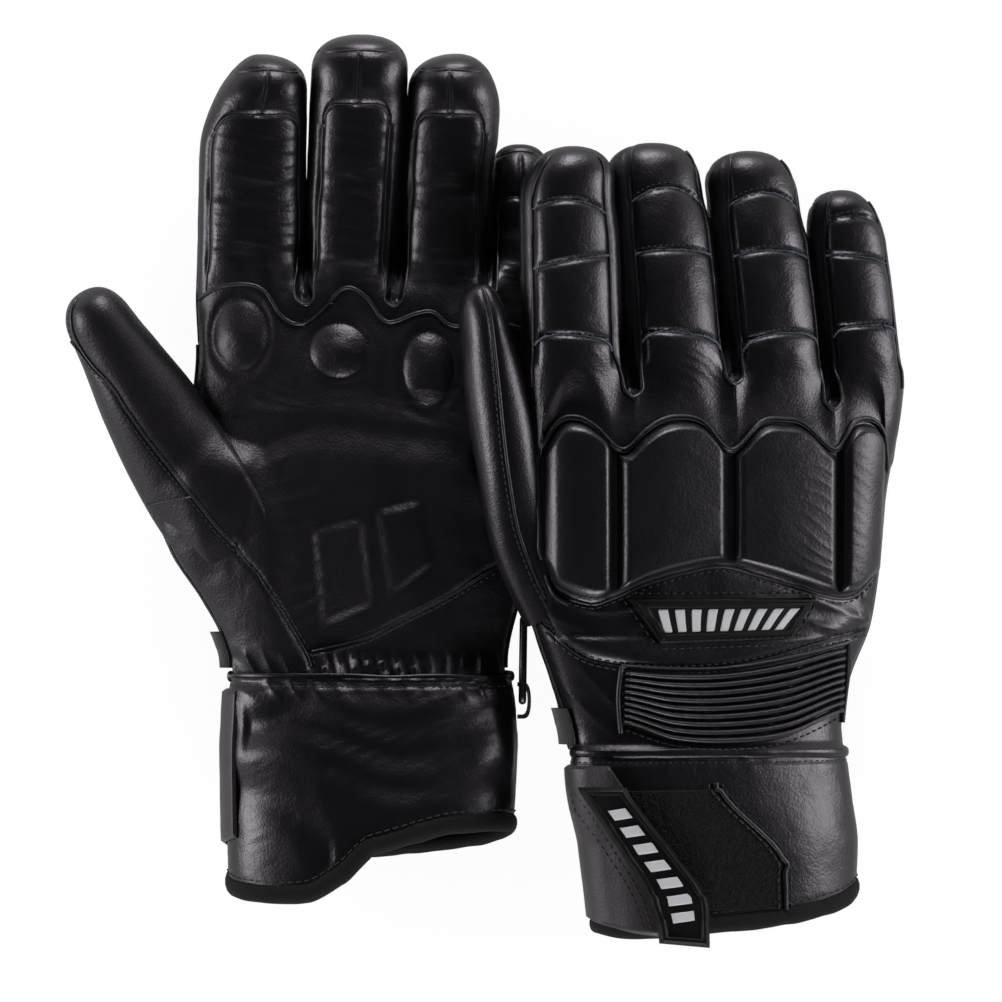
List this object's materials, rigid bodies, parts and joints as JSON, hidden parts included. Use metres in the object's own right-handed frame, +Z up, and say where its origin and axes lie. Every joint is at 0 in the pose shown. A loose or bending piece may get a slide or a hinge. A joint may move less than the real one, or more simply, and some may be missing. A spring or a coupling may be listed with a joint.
{
  "type": "pair of riding gloves",
  "caption": "Pair of black padded leather riding gloves with short gauntlets, one palm up and one back up, with bending fingers, knuckle pads and strap closures.",
  "frame": {"origin": "centre of the underside of the pair's bounding box, on the table", "axes": "+Y towards the fingertips, +X from the left glove to the right glove, +Z up off the table"},
  "size_m": [0.2784, 0.3028, 0.0591],
  "materials": {
    "goat_leather": "satin pebbled black leather",
    "palm_leather": "satin smooth black leather",
    "moulded_rubber": "matte moulded",
    "woven_binding": "matte woven",
    "loop_pile": "fuzzy pile",
    "moulded_hooks": "matte hooks",
    "knitted_liner": "knitted",
    "webbing": "ribbed tape",
    "acetal_ring": "smooth moulded"
  },
  "bodies": {
    "left_hand": {"left_back_shell": "goat_leather", "left_palm_shell": "palm_leather", "left_thumb_base": "goat_leather", "left_liner": "knitted_liner", "left_cuff": "goat_leather", "left_hem_binding": "woven_binding", "left_index_knuckle_pad": "goat_leather", "left_middle_knuckle_pad": "goat_leather", "left_ring_knuckle_pad": "goat_leather", "left_little_knuckle_pad": "goat_leather", "left_badge_plate": "moulded_rubber", "left_wrist_ribs": "goat_leather", "left_index_palm_pad": "palm_leather", "left_middle_palm_pad": "palm_leather", "left_ring_palm_pad": "palm_leather", "left_heel_pad_1": "palm_leather", "left_heel_pad_2": "palm_leather", "left_loop_panel": "loop_pile", "left_strap_root": "goat_leather", "left_pull_loop": "webbing", "left_clip_tape": "webbing", "left_little_stall": "goat_leather"},
    "left_index": {"left_index_stall": "goat_leather"},
    "left_middle": {"left_middle_stall": "goat_leather"},
    "left_ring": {"left_ring_stall": "goat_leather"},
    "left_thumb": {"left_thumb_stall": "goat_leather"},
    "left_strap": {"left_strap_flap": "goat_leather", "left_strap_tab": "moulded_rubber", "left_hook_patch": "moulded_hooks"},
    "left_clip": {"left_clip_ring": "acetal_ring"},
    "right_hand": {"right_back_shell": "goat_leather", "right_palm_shell": "palm_leather", "right_thumb_base": "goat_leather", "right_liner": "knitted_liner", "right_cuff": "goat_leather", "right_hem_binding": "woven_binding", "right_index_knuckle_pad": "goat_leather", "right_middle_knuckle_pad": "goat_leather", "right_ring_knuckle_pad": "goat_leather", "right_little_knuckle_pad": "goat_leather", "right_badge_plate": "moulded_rubber", "right_wrist_ribs": "goat_leather", "right_index_palm_pad": "palm_leather", "right_middle_palm_pad": "palm_leather", "right_ring_palm_pad": "palm_leather", "right_heel_pad_1": "palm_leather", "right_heel_pad_2": "palm_leather", "right_loop_panel": "loop_pile", "right_strap_root": "goat_leather", "right_pull_loop": "webbing"},
    "right_index": {"right_index_stall": "goat_leather"},
    "right_middle": {"right_middle_stall": "goat_leather"},
    "right_ring": {"right_ring_stall": "goat_leather"},
    "right_little": {"right_little_stall": "goat_leather"},
    "right_thumb": {"right_thumb_stall": "goat_leather"},
    "right_strap": {"right_strap_flap": "goat_leather", "right_strap_tab": "moulded_rubber", "right_hook_patch": "moulded_hooks"}
  },
  "joints": [
    {"name": "right_glove_lift", "type": "slide", "parent": "left_hand", "child": "right_hand", "axis": [0, 0, 1], "range_m": [0, 0.12]},
    {"name": "left_index_flex", "type": "hinge", "parent": "left_hand", "child": "left_index", "pos_m": [-0.07763, 0.06393, 0.0328], "axis": [1, 0, 0], "range_deg": [0, 65]},
    {"name": "left_middle_flex", "type": "hinge", "parent": "left_hand", "child": "left_middle", "pos_m": [-0.04463, 0.06393, 0.0328], "axis": [1, 0, 0], "range_deg": [0, 65]},
    {"name": "left_ring_flex", "type": "hinge", "parent": "left_hand", "child": "left_ring", "pos_m": [-0.01393, 0.06393, 0.0317], "axis": [1, 0, 0], "range_deg": [0, 65]},
    {"name": "left_thumb_flex", "type": "hinge", "parent": "left_hand", "child": "left_thumb", "pos_m": [-0.11148, 0.02879, 0.0363], "axis": [0.8614, 0.5079, 0], "range_deg": [0, 45]},
    {"name": "left_strap_open", "type": "hinge", "parent": "left_hand", "child": "left_strap", "pos_m": [-0.08623, -0.09287, 0.01254], "axis": [-0.007, 0.9998, -0.0162], "range_deg": [0, 110]},
    {"name": "left_clip_swing", "type": "hinge", "parent": "left_hand", "child": "left_clip", "pos_m": [0.01229, -0.06937, 0.0218], "axis": [0, 0, -1], "range_deg": [0, 12]},
    {"name": "right_index_lift", "type": "hinge", "parent": "right_hand", "child": "right_index", "pos_m": [0.03359, 0.03393, 0.05629], "axis": [0.9588, 0, -0.284], "range_deg": [0, 25]},
    {"name": "right_middle_lift", "type": "hinge", "parent": "right_hand", "child": "right_middle", "pos_m": [0.06868, 0.03393, 0.0459], "axis": [0.9588, 0, -0.284], "range_deg": [0, 25]},
    {"name": "right_ring_lift", "type": "hinge", "parent": "right_hand", "child": "right_ring", "pos_m": [0.10119, 0.03393, 0.03523], "axis": [0.9588, 0, -0.284], "range_deg": [0, 25]},
    {"name": "right_little_lift", "type": "hinge", "parent": "right_hand", "child": "right_little", "pos_m": [0.13111, 0.03393, 0.02428], "axis": [0.9588, 0, -0.284], "range_deg": [0, 25]},
    {"name": "right_thumb_lift", "type": "hinge", "parent": "right_hand", "child": "right_thumb", "pos_m": [0.00833, 0.0285, 0.05797], "axis": [0.9448, 0.1705, -0.2799], "range_deg": [0, 25]},
    {"name": "right_strap_open", "type": "hinge", "parent": "right_hand", "child": "right_strap", "pos_m": [0.03495, -0.11787, 0.05037], "axis": [0.135, -0.9901, -0.038], "range_deg": [0, 110]}
  ]
}
